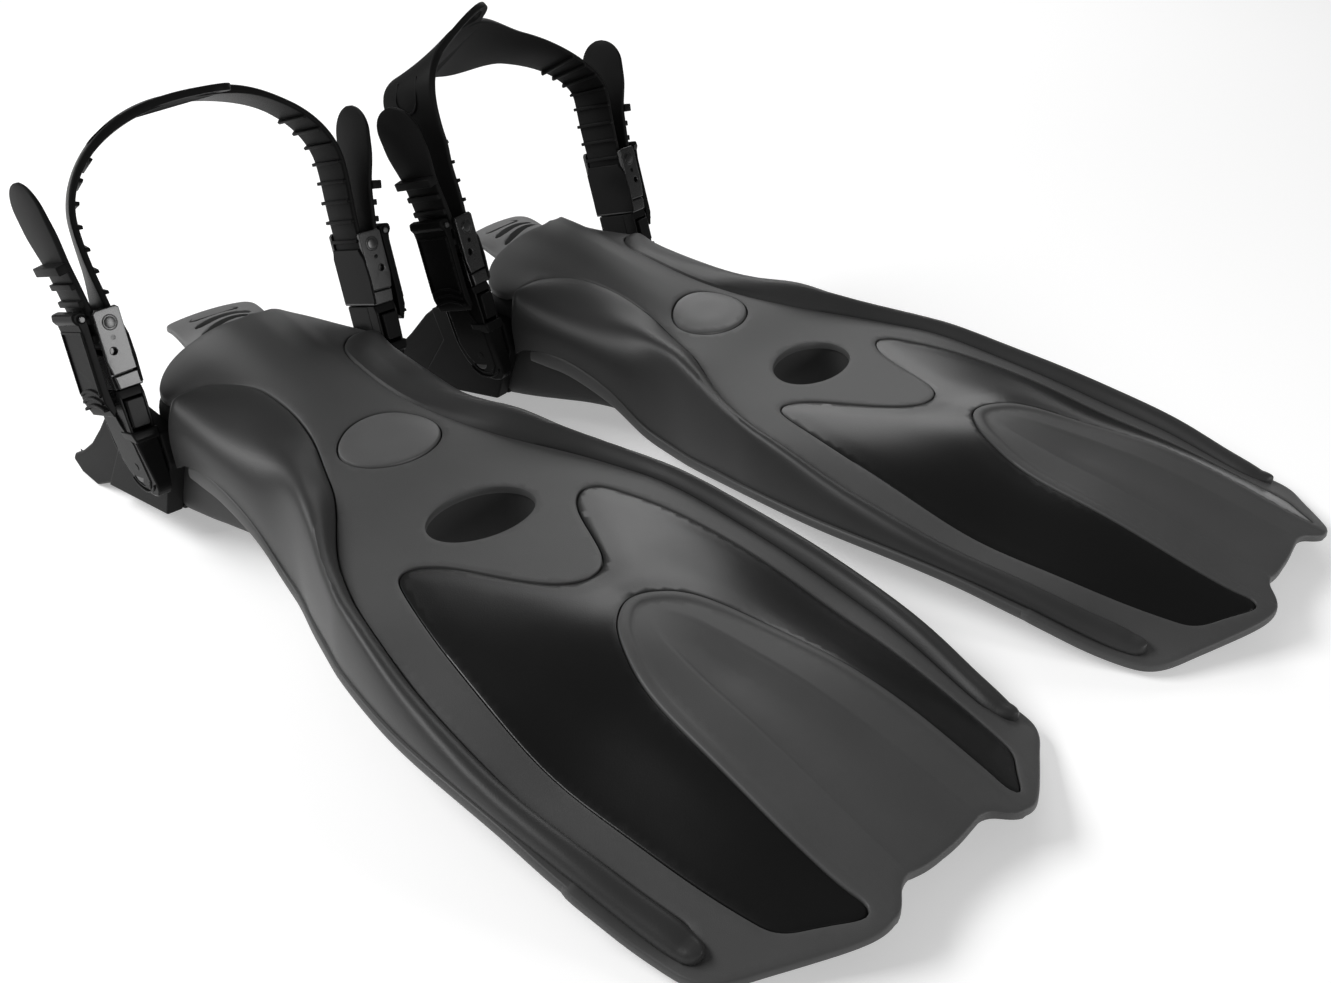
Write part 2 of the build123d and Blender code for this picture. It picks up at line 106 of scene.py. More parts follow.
# --- Curves, heights and mesh helpers ----------------------------------------------------------
def spline(knots, values):
    """Natural cubic spline through values at increasing knots, as a function of an array."""
    knots, values = np.asarray(knots, float), np.asarray(values, float)
    count, step = len(knots), np.diff(knots)
    shape = (-1,) + (1,) * (values.ndim - 1)
    slope = np.diff(values, axis=0) / step.reshape(shape)
    system, right = np.eye(count), np.zeros_like(values)
    for i in range(1, count - 1):
        system[i, i - 1:i + 2] = step[i - 1], 2 * (step[i - 1] + step[i]), step[i]
        right[i] = 6 * (slope[i] - slope[i - 1])
    bend = np.linalg.solve(system, right)

    def at(where):
        where = np.clip(np.atleast_1d(np.asarray(where, float)), knots[0], knots[-1])
        i = np.clip(np.searchsorted(knots, where, side="right") - 1, 0, count - 2)
        h = step[i].reshape(shape)
        b = ((where - knots[i]) / step[i]).reshape(shape)
        a = 1 - b
        cubic = ((a ** 3 - a) * bend[i] + (b ** 3 - b) * bend[i + 1]) * h * h / 6
        return a * values[i] + b * values[i + 1] + cubic
    return at


def curve(points, spacing=2.0, closed=False):
    """Evenly spaced points on a smooth curve through the given points."""
    points = np.asarray(points, float)
    if closed:
        points = np.vstack([points[-3:], points, points[:4]])
    gaps = np.sqrt(np.maximum(np.linalg.norm(np.diff(points, axis=0), axis=1), 1e-6))
    knots = np.concatenate([[0], np.cumsum(gaps)])
    smooth = spline(knots, points)
    start, end = (knots[3], knots[-4]) if closed else (knots[0], knots[-1])
    fine = smooth(np.linspace(start, end, 1500))
    length = np.concatenate([[0], np.cumsum(np.linalg.norm(np.diff(fine, axis=0), axis=1))])
    count = max(4, int(round(length[-1] / spacing)) + 1)
    even = np.linspace(0, length[-1], count)[:-1 if closed else None]
    return np.stack([np.interp(even, length, fine[:, i]) for i in range(points.shape[1])], axis=1)


def mirrored_loop(half):
    """Closed loop from its right half, which starts and ends on the axis."""
    half = np.asarray(half, float)
    return np.vstack([half, (half * (-1, 1))[-2:0:-1]])


def in_plan(points):
    """(x, reach) points as (x, y) points."""
    return np.asarray(points, float) * (1, -1)


reach_grid = np.arange(min(HEIGHTS), max(HEIGHTS) + 1)
side_grid = np.arange(0, max(HEIGHT_AT) + 1)
rows = spline(list(HEIGHTS), list(HEIGHTS.values()))(reach_grid)
HEIGHT_MAP = spline(HEIGHT_AT, rows.T)(side_grid).T


def height(x, y):
    """Upper surface of instep and blade, in mm, at arrays of x and y."""
    side = np.clip(np.sqrt(np.asarray(x, float) ** 2), 0, side_grid[-1] - 0.001)
    reach = np.clip(-np.asarray(y, float), reach_grid[0], reach_grid[-1] - 0.001) - reach_grid[0]
    i, j = reach.astype(int), side.astype(int)
    u, v = reach - i, side - j
    near = HEIGHT_MAP[i, j] * (1 - v) + HEIGHT_MAP[i, j + 1] * v
    far = HEIGHT_MAP[i + 1, j] * (1 - v) + HEIGHT_MAP[i + 1, j + 1] * v
    return near * (1 - u) + far * u


def distance_to(points, loop):
    """Distance from each point to a closed loop."""
    best = np.full(len(points), 1e9)
    for a, b in zip(loop, np.roll(loop, -1, axis=0)):
        along = b - a
        share = np.clip((points - a) @ along / max(along @ along, 1e-9), 0, 1)
        best = np.minimum(best, np.linalg.norm(points - a - share[:, None] * along, axis=1))
    return best


def inside(points, loop):
    """Which points are inside a closed loop."""
    odd = np.zeros(len(points), bool)
    x, y = points.T
    for (ax, ay), (bx, by) in zip(loop, np.roll(loop, -1, axis=0)):
        if ay != by:
            crosses = (ay > y) != (by > y)
            odd ^= crosses & (x < (bx - ax) * (y - ay) / (by - ay) + ax)
    return odd


def inset(loop, amount):
    """Points at a distance inside or outside a loop, along its normals."""
    along = np.roll(loop, -1, axis=0) - np.roll(loop, 1, axis=0)
    along /= np.maximum(np.linalg.norm(along, axis=1, keepdims=True), 1e-9)
    return loop + amount * np.stack([-along[:, 1], along[:, 0]], axis=1)


def widened(loop, amount):
    """The same loop moved outwards, whichever way round it runs."""
    x, y = loop.T
    area = np.sum(x * np.roll(y, -1) - np.roll(x, -1) * y)
    return inset(loop, -amount if area > 0 else amount)


def smoothstep(low, high, value):
    share = np.clip((value - low) / (high - low), 0, 1)
    return share * share * (3 - 2 * share)


def slab(outline, top, thickness, holes=(), edge=0.9, spacing=3.0, extra=()):
    """Closed sheet over a plan outline: top gives its upper surface, and its edges are rounded."""
    loops = [np.asarray(outline, float)] + [np.asarray(hole, float) for hole in holes]
    candidates = list(extra)
    for loop in loops:
        for ring in (0.3 * edge, edge):
            for way in (1, -1):
                offset = inset(loop, way * ring)
                apart = distance_to(offset, loop)
                candidates.append(offset[apart > 0.93 * ring])
    low, high = loops[0].min(0), loops[0].max(0)
    columns = int(math.ceil(high[0] / spacing))
    across = np.arange(-columns, columns + 1) * spacing
    down = np.arange(low[1], high[1], spacing * 0.87)
    grid = [(x + (spacing / 2 if row % 2 else 0), y) for row, y in enumerate(down) for x in across]
    grid = np.array(grid)
    clear = np.min([distance_to(grid, loop) for loop in loops], axis=0)
    grid = grid[clear > edge + 0.45 * spacing]
    for row in extra:
        grid = grid[distance_to(grid, row) > 0.5 * spacing]
    candidates.append(grid)
    free = np.vstack([c for c in candidates if len(c)])
    keep = inside(free, loops[0])
    for hole in loops[1:]:
        keep &= ~inside(free, hole)
    free = free[keep]
    apart = np.min([distance_to(free, loop) for loop in loops], axis=0)
    free = free[apart > 0.2 * edge]
    _, first = np.unique(np.round(free / 0.25).astype(int), axis=0, return_index=True)
    free = free[np.sort(first)]
    points, edges = [], []
    for loop in loops:
        start = len(points)
        points += [tuple(p) for p in loop]
        edges += [(start + i, start + (i + 1) % len(loop)) for i in range(len(loop))]
    points += [tuple(p) for p in free]
    plan, _, faces, _, _, _ = delaunay_2d_cdt([Vector(p) for p in points], edges, [], 0, 1e-5)
    plan = np.array([tuple(p) for p in plan])
    faces = np.array([tuple(f) for f in faces])
    centres = plan[faces].mean(axis=1)
    keep = inside(centres, loops[0])
    for hole in loops[1:]:
        keep &= ~inside(centres, hole)
    faces = faces[keep]
    d = np.min([distance_to(plan, loop) for loop in loops], axis=0)
    short = np.clip(edge - d, 0, edge)
    rounding = edge - np.sqrt(np.maximum(edge * edge - short * short, 0))
    surface = top(plan[:, 0], plan[:, 1], d)
    base = len(plan)
    upper = np.column_stack([plan, surface - rounding])
    lower = np.column_stack([plan, surface - thickness + rounding])
    shape_faces = [tuple(f) for f in faces] + [tuple(base + i for i in f[::-1]) for f in faces]
    for a, b in outline_edges(faces):
        shape_faces.append((b, a, base + a, base + b))
    return np.vstack([upper, lower]), shape_faces


def outline_edges(faces):
    """Directed edges of triangles that no second triangle shares."""
    seen = {}
    for f in faces:
        for a, b in ((f[0], f[1]), (f[1], f[2]), (f[2], f[0])):
            seen[(int(a), int(b))] = True
    return [(a, b) for a, b in seen if (b, a) not in seen]


def loft(sections):
    """Tube through closed sections with the same number of points, shut at both ends."""
    rows, columns = len(sections), len(sections[0])
    points = np.concatenate(sections)
    faces = []
    for i in range(rows - 1):
        for j in range(columns):
            k = (j + 1) % columns
            faces.append((i * columns + j, i * columns + k,
                          (i + 1) * columns + k, (i + 1) * columns + j))
    faces.append(tuple(range(columns))[::-1])
    faces.append(tuple((rows - 1) * columns + j for j in range(columns)))
    return points, faces


def prism(outline, low, high, place, bevel=0.6, segments=3):
    """Bevelled prism over a 2-D outline; place turns (u, v, w) into fin coordinates."""
    work = bmesh.new()
    rings = [[work.verts.new((u, v, w)) for u, v in outline] for w in (low, high)]
    work.faces.new(rings[0][::-1])
    work.faces.new(rings[1])
    count = len(outline)
    for i in range(count):
        k = (i + 1) % count
        work.faces.new((rings[0][i], rings[0][k], rings[1][k], rings[1][i]))
    bmesh.ops.recalc_face_normals(work, faces=work.faces)
    if bevel:
        sharp = [e for e in work.edges if e.calc_face_angle(0) > math.radians(25)]
        bmesh.ops.bevel(work, geom=sharp, offset=bevel, segments=segments, profile=0.5,
                        affect="EDGES", clamp_overlap=True)
    work.verts.index_update()
    points = np.array([place(*v.co) for v in work.verts])
    faces = [tuple(v.index for v in f.verts) for f in work.faces]
    work.free()
    return points, faces


def joined(*shapes):
    """Several shapes as one."""
    points, faces, base = [], [], 0
    for shape_points, shape_faces in shapes:
        points.append(np.asarray(shape_points, float))
        faces += [tuple(base + i for i in f) for f in shape_faces]
        base += len(shape_points)
    return np.vstack(points), faces


def rounded_box(u, v, radius, steps=5):
    """Rectangle outline from -u to u and -v to v with round corners."""
    outline = []
    for quarter in range(4):
        cx, cy = (u - radius) * (1, -1, -1, 1)[quarter], (v - radius) * (1, 1, -1, -1)[quarter]
        for i in range(steps + 1):
            angle = math.radians(90 * (quarter + i / steps))
            outline.append((cx + radius * math.cos(angle), cy + radius * math.sin(angle)))
    return outline


def circle(cx, cy, radius, count=40):
    turns = [2 * math.pi * i / count for i in range(count)]
    return [(cx + radius * math.cos(t), cy + radius * math.sin(t)) for t in turns]


def ellipse(reach, wide, long, spacing=2.0):
    count = int(math.pi * (wide + long) / spacing)
    turns = np.linspace(0, 2 * math.pi, count, endpoint=False)
    return in_plan(np.column_stack([wide * np.cos(turns), reach + long * np.sin(turns)]))


# --- From a fin's own frame to the pair ---------------------------------------------------------
def placement(fin):
    side = FINS[fin]
    heel = Vector((side * HEEL_SPACING, HEEL_TO_CENTRE - side * HEEL_STAGGER, 0))
    turn = Matrix.Rotation(math.radians(side * SPLAY), 4, "Z")
    return Matrix.Scale(MM, 4) @ Matrix.Translation(heel) @ turn


lean = math.radians(LEAN)
ARM_UP = np.array((0, math.sin(lean), math.cos(lean)))
ARM_TOE = np.array((0, -math.cos(lean), math.sin(lean)))
PIVOT = np.array((0, -PIVOT_REACH, PIVOT_HEIGHT))


def swing(x, a, t):
    """Swing-frame point in the fin's own frame."""
    return PIVOT + np.array((x, 0, 0)) + a * ARM_UP + t * ARM_TOE


def swing_from_side(t, a, x):
    return swing(x, a, t)


def finish_mesh(name, mesh, material):
    mesh.polygons.foreach_set("use_smooth", [True] * len(mesh.polygons))
    mesh.set_sharp_from_angle(angle=math.radians(SHARP_ANGLE))
    mesh.materials.clear()
    mesh.materials.append(material)
    piece = bpy.data.objects.new(name, mesh)
    bpy.context.scene.collection.objects.link(piece)
    return piece


def weigh_normals(mesh):
    """Shade each corner by the larger faces round it, so that flats between bevels stay flat."""
    faces = len(mesh.polygons)
    normals, areas = np.zeros(faces * 3), np.zeros(faces)
    mesh.polygons.foreach_get("normal", normals)
    mesh.polygons.foreach_get("area", areas)
    normals = normals.reshape(-1, 3)
    around = {}
    for face in mesh.polygons:
        for vertex in face.vertices:
            around.setdefault(vertex, []).append(face.index)
    least = math.cos(math.radians(FLAT_ANGLE))
    corners = []
    for face in mesh.polygons:
        for vertex in face.vertices:
            near = np.array(around[vertex])
            near = near[normals[near] @ normals[face.index] > least]
            mixed = areas[near] @ normals[near]
            length = np.linalg.norm(mixed)
            corners.append(tuple(mixed / length if length else normals[face.index]))
    mesh.normals_split_custom_set(corners)


def add_piece(fin, label, shape, body, material, nodes=(), side=1, flats=False):
    """One piece of one fin, from a shape in the fin's own frame; side -1 mirrors it."""
    points, faces = shape
    points = np.asarray(points, float) * (side, 1, 1)
    name = f"{fin}_{label}"
    mesh = bpy.data.meshes.new(name)
    mesh.from_pydata([tuple(p) for p in points], [], [tuple(int(i) for i in f) for f in faces])
    work = bmesh.new()
    work.from_mesh(mesh)
    bmesh.ops.recalc_face_normals(work, faces=work.faces)
    work.to_mesh(mesh)
    work.free()
    mesh.transform(placement(fin))
    piece = finish_mesh(name, mesh, material)
    if flats:
        weigh_normals(mesh)
    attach(piece, f"{fin}_{body}")
    if nodes:
        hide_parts(*[f"{fin}_fin_{node}" for node in nodes])


def add_bevelled(fin, node, body, material, width):
    """A hard CAD part with its edges rounded, as a piece that stands for it."""
    name = f"{fin}_fin_{node}"
    work = bmesh.new()
    work.from_mesh(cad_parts[name].data)
    bmesh.ops.remove_doubles(work, verts=work.verts, dist=1e-5)
    bmesh.ops.dissolve_limit(work, angle_limit=math.radians(0.6), verts=work.verts,
                             edges=work.edges)
    edges = [e for e in work.edges if e.calc_face_angle(0) > math.radians(32)]
    bmesh.ops.bevel(work, geom=edges, offset=width * MM, segments=3, profile=0.5,
                    affect="EDGES", clamp_overlap=False)
    mesh = bpy.data.meshes.new(f"{fin}_{node}")
    work.to_mesh(mesh)
    work.free()
    piece = finish_mesh(f"{fin}_{node}", mesh, material)
    weigh_normals(mesh)
    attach(piece, f"{fin}_{body}")
    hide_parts(name)


# --- Materials ----------------------------------------------------------------------------------
def moulded(name, tone, roughness, grain=0.35, grain_size=2600.0, edge_highlight=0.25, specular=0.5):
    """Moulded rubber or plastic: fine grain, cloudy tone and gloss, and a painted highlight that
    makes sharp edges paler.
    """
    material = bpy.data.materials.new(name)
    material.use_nodes = True
    nodes, links = material.node_tree.nodes, material.node_tree.links
    shader = nodes["Principled BSDF"]
    shader.inputs["Specular IOR Level"].default_value = specular
    place = nodes.new("ShaderNodeTexCoord")

    clouds = nodes.new("ShaderNodeTexNoise")
    clouds.inputs["Scale"].default_value = 14.0
    clouds.inputs["Detail"].default_value = 5.0
    links.new(place.outputs["Object"], clouds.inputs["Vector"])
    tones = nodes.new("ShaderNodeValToRGB")
    tones.color_ramp.elements[0].position = 0.3
    tones.color_ramp.elements[1].position = 0.7
    tones.color_ramp.elements[0].color = (*(0.88 * c for c in tone), 1)
    tones.color_ramp.elements[1].color = (*(1.12 * c for c in tone), 1)
    links.new(clouds.outputs["Fac"], tones.inputs["Fac"])

    # Painted highlight: along sharp edges, found by pointiness, the colour is mixed towards a paler
    # tone in place of the light that the edges catch.
    edges = nodes.new("ShaderNodeNewGeometry")
    edge_highlight_share = nodes.new("ShaderNodeMapRange")
    edge_highlight_share.inputs["From Min"].default_value = 0.52
    edge_highlight_share.inputs["From Max"].default_value = 0.62
    edge_highlight_share.inputs["To Max"].default_value = edge_highlight
    links.new(edges.outputs["Pointiness"], edge_highlight_share.inputs["Value"])
    paler = nodes.new("ShaderNodeMix")
    paler.data_type = "RGBA"
    links.new(edge_highlight_share.outputs["Result"], paler.inputs["Factor"])
    links.new(tones.outputs["Color"], paler.inputs["A"])
    paler.inputs["B"].default_value = (*(1.8 * c + 0.01 for c in tone), 1)
    links.new(paler.outputs["Result"], shader.inputs["Base Color"])

    gloss = nodes.new("ShaderNodeMapRange")
    gloss.inputs["To Min"].default_value = roughness - 0.05
    gloss.inputs["To Max"].default_value = roughness + 0.06
    links.new(clouds.outputs["Fac"], gloss.inputs["Value"])
    links.new(gloss.outputs["Result"], shader.inputs["Roughness"])

    speckle = nodes.new("ShaderNodeTexNoise")
    speckle.inputs["Scale"].default_value = grain_size
    speckle.inputs["Detail"].default_value = 2.0
    links.new(place.outputs["Object"], speckle.inputs["Vector"])
    bump = nodes.new("ShaderNodeBump")
    bump.inputs["Strength"].default_value = grain
    bump.inputs["Distance"].default_value = 0.0002
    links.new(speckle.outputs["Fac"], bump.inputs["Height"])
    links.new(bump.outputs["Normal"], shader.inputs["Normal"])
    return material


def grey(value):
    return value, value, value


FRAME_LOOK = moulded("frame_matte", grey(0.053), 0.52, specular=0.4)
POCKET_LOOK = moulded("pocket_rubber", grey(0.022), 0.62, grain=0.45, specular=0.3)
RAIL_LOOK = moulded("rail_semigloss", grey(0.030), 0.44, grain=0.3, grain_size=1800,
                    specular=0.26)
PANEL_LOOK = moulded("panel_gloss", grey(0.0055), 0.3, grain=0.18, grain_size=1500, edge_highlight=0.08,
                     specular=0.26)
BADGE_LOOK = moulded("badge_matte", grey(0.085), 0.46, grain=0.2)
TONGUE_LOOK = moulded("tongue_rubber", grey(0.13), 0.6)
SOLE_LOOK = moulded("sole_plastic", grey(0.010), 0.42, specular=0.04)
STRAP_LOOK = moulded("strap_rubber", grey(0.009), 0.42, grain=0.35, specular=0.04)
BUCKLE_LOOK = moulded("buckle_plastic", grey(0.008), 0.22, grain=0.12, grain_size=1200,
                      specular=0.05)
LEVER_LOOK = moulded("lever_plastic", grey(0.006), 0.26, grain=0.12, grain_size=1200, specular=0.03)
RECEIVER_LOOK = moulded("receiver_plastic", grey(0.005), 0.24, grain=0.12, grain_size=1200,
                        specular=0.5)
PIN_LOOK = moulded("pin_dark_steel", grey(0.06), 0.3, grain=0.1)
PIN_LOOK.node_tree.nodes["Principled BSDF"].inputs["Metallic"].default_value = 0.7


# --- Blade frame with its channel, and the panel ------------------------------------------------
SEAM_LINE = [(59.5, 123.5), (50, 124.8), (42, 128), (35, 134.5), (28.2, 146), (25.6, 162),
             (26, 181), (30.2, 200), (38, 219), (47, 239), (60, 258), (72.5, 277), (81, 296),
             (87.3, 315), (95, 353), (99, 391), (100, 429), (97, 467), (91.5, 505)]
RAIL_END = [(91.5, 508), (93.6, 512.5), (97.2, 514.4), (100.6, 513), (102.6, 509)]
RIM_START = [(103.6, 503), (106.4, 485), (108.2, 467)]
OUTER_RIM = [(114, 466), (113, 480), (110.6, 495), (108.4, 508), (107, 517), (104.5, 525),
             (98, 532.5), (88, 539)]
TAIL_EDGE = [(80, 544), (68, 551.5), (56, 558.5), (48, 561.8), (41, 562.2), (34.5, 559.5),
             (29, 555.3), (23, 553.2), (12, 553.2), (0, 553.2)]
MOUTH_EDGE = [(0, 103), (7, 103), (15, 99.5), (24, 94.5), (33, 91.2), (42, 91.8), (50, 96),
              (57, 104), (60.5, 113), (61, 119)]
PANEL_LOBE = [(0, 361), (7, 359.5), (15, 353), (22, 342), (29, 328), (37, 313), (45, 304),
              (53, 300.5), (59.5, 303), (64, 311)]
PANEL_SIDE = [(70, 330), (75.5, 353), (81.5, 391), (84.3, 429), (83, 467), (79, 505),
              (75.7, 524), (73.5, 532), (69.5, 537.5), (64, 542)]
PANEL_TAIL = [(56, 548.5), (50.5, 552.8), (46.8, 553.8), (45, 550.5), (45.5, 543)]
CHANNEL_EDGE = [(46, 524), (45.5, 505), (42, 467), (34.5, 429), (27.5, 411), (20, 398.5),
                (12, 391), (5, 387), (0, 386)]
CHANNEL_TAIL = [(46, 545), (46, 565), (46, 590), (46, 620), (0, 620)]

floor_edge = spline([r for r, _ in FLOOR_EDGE], [w for _, w in FLOOR_EDGE])
channel_side = in_plan(mirrored_loop(curve(CHANNEL_EDGE[::-1] + CHANNEL_TAIL)))
panel_loop = in_plan(mirrored_loop(curve(PANEL_LOBE + PANEL_SIDE + PANEL_TAIL + CHANNEL_EDGE)))


def channel_drop(x, y):
    """How far the channel lies below the arch of the blade: band, step, flank, hollow floor."""
    plan = np.column_stack([x, y])
    within = inside(plan, channel_side)
    from_edge = np.zeros(len(plan))
    from_edge[within] = distance_to(plan[within], channel_side)
    side, reach = np.abs(x), -y
    edge = np.maximum(floor_edge(reach), 0.01)
    grows = smoothstep(398, 450, reach)
    drop = STEP * smoothstep(BAND, BAND + STEP_WIDTH, from_edge)
    flank = from_edge - BAND - STEP_WIDTH
    share = np.clip(flank / np.maximum(flank + side - edge, 4), 0, 1)
    drop = drop + (FLANK_DROP - STEP) * grows * share
    hollow = np.clip(1 - (side / edge) ** 2, 0, 1) ** 0.85
    return drop + FLOOR_DROP * grows * hollow * smoothstep(0, 5, floor_edge(reach))


def frame_top(x, y, d):
    return height(x, y) - channel_drop(x, y)


def panel_top(x, y, d):
    """Recessed a little under the frame, and crowned very slightly between its edges."""
    return height(x, y) - PANEL_RECESS + 0.35 * smoothstep(0, 14, d)


def blade_frame():
    outline = np.vstack([curve(MOUTH_EDGE), curve(SEAM_LINE + RAIL_END + RIM_START),
                         curve([(112.6, 465.2)] + OUTER_RIM + TAIL_EDGE)])
    reach = np.arange(402, 552, 2.0)
    crease = floor_edge(reach)
    channel_rows = [in_plan(np.column_stack([side * (crease + shift), reach]))
                    for side in (1, -1) for shift in (-3, -1.4, 0, 1.4)]
    band_rows = [inset(channel_side, way * (BAND + shift))
                 for shift in (0, 0.5 * STEP_WIDTH, STEP_WIDTH) for way in (1, -1)]
    band_rows = [row[inside(row, channel_side)] for row in band_rows]
    band_rows = [row[distance_to(row, channel_side) > 0.9 * BAND] for row in band_rows if len(row)]
    holes = [ellipse(HOLE_REACH, HOLE_WIDE, HOLE_LONG),
             ellipse(BADGE_REACH, BADGE_WIDE + SEAM, BADGE_LONG + SEAM),
             widened(panel_loop, SEAM)]
    return slab(in_plan(mirrored_loop(outline)), frame_top, SHEET, holes, edge=0.9,
                extra=channel_rows + [row for row in band_rows if len(row)])


def blade_panel():
    return slab(panel_loop, panel_top, 2.6, edge=0.8)


def seam_backing():
    """Lip under the seam between panel and frame, which closes the gap from below."""
    def top(x, y, d):
        return height(x, y) - 2.9
    return slab(widened(panel_loop, 3.0), top, 1.4, edge=0.5, spacing=5.0)


def badge():
    def top(x, y, d):
        return height(x, y) + 0.5 + 0.7 * smoothstep(0, 12, d)
    return slab(ellipse(BADGE_REACH, BADGE_WIDE - SEAM, BADGE_LONG - SEAM), top, 4.5, edge=1.0)


def drain_duct():
    """Tube wall that leads the drain hole down through the toe of the foot pocket."""
    turns = np.linspace(0, 2 * math.pi, 64, endpoint=False)
    sections = []
    for grow, drop in ((1.4, 1.6), (1.2, 27), (4.2, 27), (4.4, 1.6)):
        x = (HOLE_WIDE + grow) * np.cos(turns)
        y = -HOLE_REACH + (HOLE_LONG + grow) * np.sin(turns)
        sections.append(np.column_stack([x, y, height(x, y) - drop]))
    sections.append(sections[0])
    points, faces = loft(sections)
    return points, faces[:-2]


# --- Side rails and the rim strip under them ----------------------------------------------------
# Each row: seam (reach, side), crest (reach, side, rise above the seam's height), outer face
# (reach, side) and the height of its lower edge.
RAIL_ROWS = [
    (123.8, 59.8, 124.2, 62.0, -1.0, 128.5, 67.6, 47.0),
    (125.6, 49.5, 127.0, 61.0, -1.5, 131.0, 67.6, 49.0),
    (130.2, 39.6, 131.5, 58.4, -2.6, 135.5, 67.4, 50.8),
    (138.5, 31.9, 139.0, 55.0, -3.6, 142.0, 67.2, 52.0),
    (150.0, 27.6, 150.0, 52.6, -4.4, 152.0, 67.0, 52.6),
    (165.0, 26.0, 165.0, 51.2, -3.8, 165.0, 66.8, 51.5),
    (181.0, 26.4, 181.0, 51.0, -1.8, 181.0, 66.6, 47.0),
    (200.0, 30.6, 200.0, 52.4, 1.4, 200.0, 66.6, 38.0),
    (219.0, 38.2, 219.0, 57.5, 4.8, 219.0, 67.6, 26.5),
    (239.0, 47.4, 239.0, 65.0, 7.6, 239.0, 71.8, 22.5),
    (258.0, 60.4, 258.0, 72.5, 7.6, 258.0, 79.0, 22.8),
    (277.0, 72.9, 277.0, 82.0, 6.4, 277.0, 86.2, 24.5),
    (296.0, 81.4, 296.0, 89.8, 5.6, 296.0, 93.2, 26.0),
    (315.0, 87.7, 315.0, 95.6, 5.0, 315.0, 99.4, 27.2),
    (353.0, 95.4, 353.0, 103.4, 5.2, 353.0, 107.6, 28.0),
    (391.0, 99.4, 391.0, 107.4, 6.0, 391.0, 112.2, 28.2),
    (429.0, 100.4, 429.0, 108.4, 6.4, 429.0, 113.0, 25.5),
    (467.0, 97.4, 467.0, 105.0, 5.4, 467.0, 110.4, 18.5),
    (490.0, 94.3, 490.0, 101.6, 4.2, 490.0, 107.4, 12.5),
    (505.0, 92.1, 505.0, 99.4, 3.4, 505.0, 105.2, 8.6),
    (514.0, 92.2, 514.0, 98.4, 2.4, 514.0, 103.6, 7.2),
]
SECTIONS_PER_ROW = 6


def through_rows(rows, count):
    """Smooth 3-D sections between the given ones, evenly spaced by row."""
    rows = np.asarray(rows, float)
    return spline(np.arange(len(rows)), rows)(np.linspace(0, len(rows) - 1, count))


def rail_section(seam_reach, seam, crest_reach, crest, rise, outer_reach, outer, low):
    """One closed section, from the seam over the crest, down the outer face and back inside."""
    seam_z = float(height([seam], [-seam_reach])[0]) + 0.15
    crest_z = seam_z + rise
    lift = max(rise, 0)
    shoulder = crest + 0.62 * (outer - crest), crest_z - 0.16 * (crest_z - low)
    top = [
        (seam, seam_reach, seam_z - 1.2),
        (seam + 0.15, seam_reach, seam_z),
        (seam + 0.45 * (crest - seam), 0.6 * seam_reach + 0.4 * crest_reach,
         seam_z + 0.5 * rise + 0.22 * lift + 0.8 + 0.25 * max(-rise, 0)),
        (crest, crest_reach, crest_z),
        (shoulder[0], 0.5 * (crest_reach + outer_reach), shoulder[1]),
        (outer - 0.2, outer_reach - 0.35 * (outer_reach - crest_reach),
         low + 0.55 * (crest_z - low)),
        (outer, outer_reach, low + 0.22 * (crest_z - low)),
        (outer - 0.8, outer_reach, low + 0.4),
    ]
    over = curve(np.array(top), spacing=0.5)
    over = over[np.linspace(0, len(over) - 1, 26).round().astype(int)]
    inner = min(outer - 8, max(seam + 1.5, outer - 10))
    under = [(outer - 3, outer_reach, low), (inner + 2, outer_reach, low),
             (inner, 0.5 * (seam_reach + outer_reach), 0.5 * (low + seam_z) - 2),
             (seam + 0.2 * (inner - seam), seam_reach, seam_z - 4.5)]
    return np.vstack([over, under]) * (1, -1, 1)


def side_rail():
    rows = through_rows(RAIL_ROWS, SECTIONS_PER_ROW * (len(RAIL_ROWS) - 1) + 1)
    sections = [rail_section(*row) for row in rows]
    last = sections[-1]
    middle = last.mean(axis=0)
    for turn in np.radians([20, 38, 54, 68, 80, 88]):
        shrunk = middle + (last - middle) * (math.cos(turn), 1, 0.35 + 0.65 * math.cos(turn))
        shrunk[:, 1] = last[:, 1] - 7.0 * math.sin(turn)
        sections.append(shrunk)
    return loft(sections)


# Each row: reach, outer side, lower edge and upper edge of the strip
RIM_ROWS = [(139, 66.3, 45, 51.5), (146, 66.5, 44.5, 53), (154, 66.8, 44, 53), (165, 67, 43, 52),
            (181, 67, 38.5, 47.5), (200, 67, 30.5, 38.5), (219, 68.5, 20.5, 27), (239, 73, 17, 23),
            (258, 80.2, 17.5, 23.2), (277, 87.6, 19.5, 25), (296, 94.6, 21.5, 26.5),
            (315, 100.6, 22.8, 27.8), (353, 109, 23.5, 28.6), (391, 113.4, 23.5, 28.8),
            (429, 114.2, 20.5, 26), (452, 114.1, 16.8, 22.3), (470, 113.2, 13.2, 18.6)]


def rim_section(reach, outer, low, top):
    middle, half = (low + top) / 2, (top - low) / 2
    nose = [(outer - 1.1 + 1.1 * math.cos(a), middle + (half - 0.1) * math.sin(a))
            for a in np.radians(np.linspace(-90, 90, 11))]
    section = [(outer - 9, low + 0.4)] + nose + [(outer - 9, top - 0.2)]
    return np.array([(x, -reach, z) for x, z in section])


def rim_strip():
    rows = through_rows(RIM_ROWS, SECTIONS_PER_ROW * (len(RIM_ROWS) - 1) + 1)
    return loft([rim_section(*row) for row in rows])
